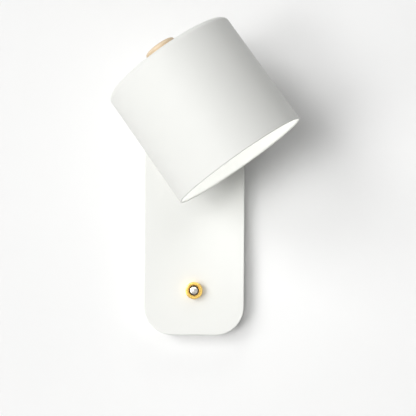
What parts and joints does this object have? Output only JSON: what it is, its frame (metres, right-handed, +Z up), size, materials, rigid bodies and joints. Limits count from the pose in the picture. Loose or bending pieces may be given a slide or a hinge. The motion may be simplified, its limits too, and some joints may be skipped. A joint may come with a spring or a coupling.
{
  "type": "wall reading lamp",
  "caption": "Wall reading lamp: a long rounded wall plate with a push switch carries a drum shade, topped by a wooden knob, on a swivel and tilt hinge.",
  "frame": {"origin": "centre of the wall plate's back, on the wall's surface", "axes": "+Z up, +Y into the wall (the lamp stands out along -Y), +X to the right as seen by someone facing the wall"},
  "size_m": [0.1558, 0.1646, 0.2689],
  "materials": {
    "white_paint": "satin powder coat",
    "hinge_paint": "satin powder coat",
    "zinc_steel": "bright zinc plate",
    "screw_steel": "zinc plated",
    "brass": "plain",
    "rubber": "matt",
    "white_nylon": "matt",
    "gold_ring": "gold, satin polished",
    "silver_button": "satin",
    "nickel_nut": "nickel plated",
    "black_plastic": "matt",
    "pale_wood": "oiled, fine straight grain",
    "holder_plastic": "matt",
    "ceramic": "unglazed",
    "bulb_metal": "bright",
    "bulb_plastic": "smooth",
    "opal": "opal white"
  },
  "bodies": {
    "base": {"plate_cover": "white_paint", "wall_bracket": "zinc_steel", "cover_screws": "screw_steel", "terminal_screws": "screw_steel", "block_screw": "screw_steel", "clamp_screws": "screw_steel", "earth_screw": "screw_steel", "stop_pin": "screw_steel", "terminal_tubes": "brass", "earth_washer": "brass", "switch_blades": "brass", "cable_grommet": "rubber", "terminal_block": "white_nylon", "cable_clamp": "white_nylon", "friction_washer": "white_nylon", "switch_bezel": "gold_ring", "switch_nut": "nickel_nut", "switch_body": "black_plastic"},
    "button": {"push_button": "silver_button"},
    "swivel": {"swivel_fork": "hinge_paint", "stop_washer": "screw_steel", "wave_washer": "screw_steel", "swivel_nut": "screw_steel", "hinge_discs": "white_nylon", "hinge_washers": "screw_steel", "hinge_bolt": "screw_steel", "hinge_nut": "screw_steel"},
    "head": {"shade": "white_paint", "shade_saddle": "hinge_paint", "saddle_screws": "screw_steel", "flex_grommet": "rubber", "wooden_knob": "pale_wood", "knob_insert": "brass", "hollow_stud": "screw_steel", "stud_washer": "screw_steel", "stud_nut": "screw_steel", "lampholder_cap": "holder_plastic", "lampholder_skirt": "holder_plastic", "lampholder_insulator": "ceramic", "lampholder_shell": "brass", "centre_contact": "brass", "bulb_tip": "bulb_metal", "bulb_cap": "bulb_metal", "bulb_collar": "bulb_plastic", "bulb_globe": "opal"}
  },
  "joints": [
    {"name": "head_swivel", "type": "hinge", "parent": "base", "child": "swivel", "pos_m": [0, -0.031, 0.0846], "axis": [0, -1, 0], "range_deg": [-195.4, 124.5]},
    {"name": "head_tilt", "type": "hinge", "parent": "swivel", "child": "head", "pos_m": [0, -0.031, 0.0846], "axis": [-0.8146, 0, -0.58], "range_deg": [-19.3, 25.7]},
    {"name": "button_press", "type": "slide", "parent": "base", "child": "button", "axis": [0, 1, 0], "range_m": [0, 0.0025], "stiffness_N_per_m": 700, "springref_m": -0.001}
  ]
}
